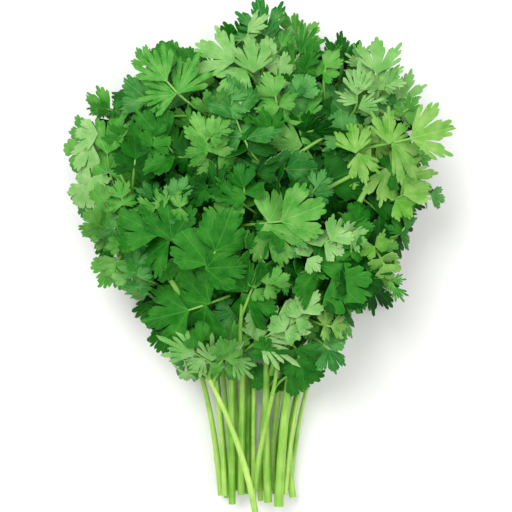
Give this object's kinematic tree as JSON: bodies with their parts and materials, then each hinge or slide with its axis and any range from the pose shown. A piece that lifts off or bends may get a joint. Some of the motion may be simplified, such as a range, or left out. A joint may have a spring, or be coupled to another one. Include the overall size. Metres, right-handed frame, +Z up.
{
  "type": "coriander bunch",
  "caption": "Loose bunch of fresh coriander lying flat: straight cut stems that fan out into a wide mound of lobed, toothed leaves",
  "frame": {"origin": "middle of the bunch's footprint, on the surface that it lies on", "axes": "+Y runs from the cut stem ends to the leaf tips, +Z is up from the surface, +X is to the right when seen from above with the leaves away from the viewer"},
  "size_m": [0.205, 0.2708, 0.0728],
  "materials": {
    "stem": "smooth satin green plant stem",
    "leaf": "soft matt-satin green leaf"
  },
  "bodies": {
    "root": {"stem_01": "stem", "stem_02": "stem", "stem_03": "stem", "stem_04": "stem", "stem_05": "stem", "stem_06": "stem", "stem_07": "stem", "stem_08": "stem", "stem_09": "stem", "stem_10": "stem", "stem_11": "stem", "stem_12": "stem", "stem_13": "stem", "stem_14": "stem", "stem_15": "stem", "stem_16": "stem", "lower_leaf_01": "leaf", "lower_leaf_02": "leaf", "lower_leaf_03": "leaf", "lower_leaf_04": "leaf", "lower_leaf_05": "leaf", "lower_leaf_06": "leaf", "lower_leaf_07": "leaf", "leaf_01": "leaf", "leaf_02": "leaf", "leaf_03": "leaf", "leaf_04": "leaf", "leaf_05": "leaf", "leaf_06": "leaf", "leaf_07": "leaf", "leaf_08": "leaf", "leaf_09": "leaf", "leaf_10": "leaf", "leaf_11": "leaf", "leaf_12": "leaf", "leaf_13": "leaf", "leaf_14": "leaf", "leaf_15": "leaf", "leaf_16": "leaf", "leaf_17": "leaf", "leaf_18": "leaf", "leaf_19": "leaf", "leaf_20": "leaf", "leaf_21": "leaf", "leaf_22": "leaf", "leaf_23": "leaf", "leaf_24": "leaf", "leaf_25": "leaf", "leaf_26": "leaf", "leaf_27": "leaf", "leaf_28": "leaf", "leaf_29": "leaf", "leaf_30": "leaf", "leaf_31": "leaf", "leaf_32": "leaf", "leaf_33": "leaf", "leaf_34": "leaf", "leaf_35": "leaf", "leaf_36": "leaf", "leaf_37": "leaf"}
  },
  "joints": []
}
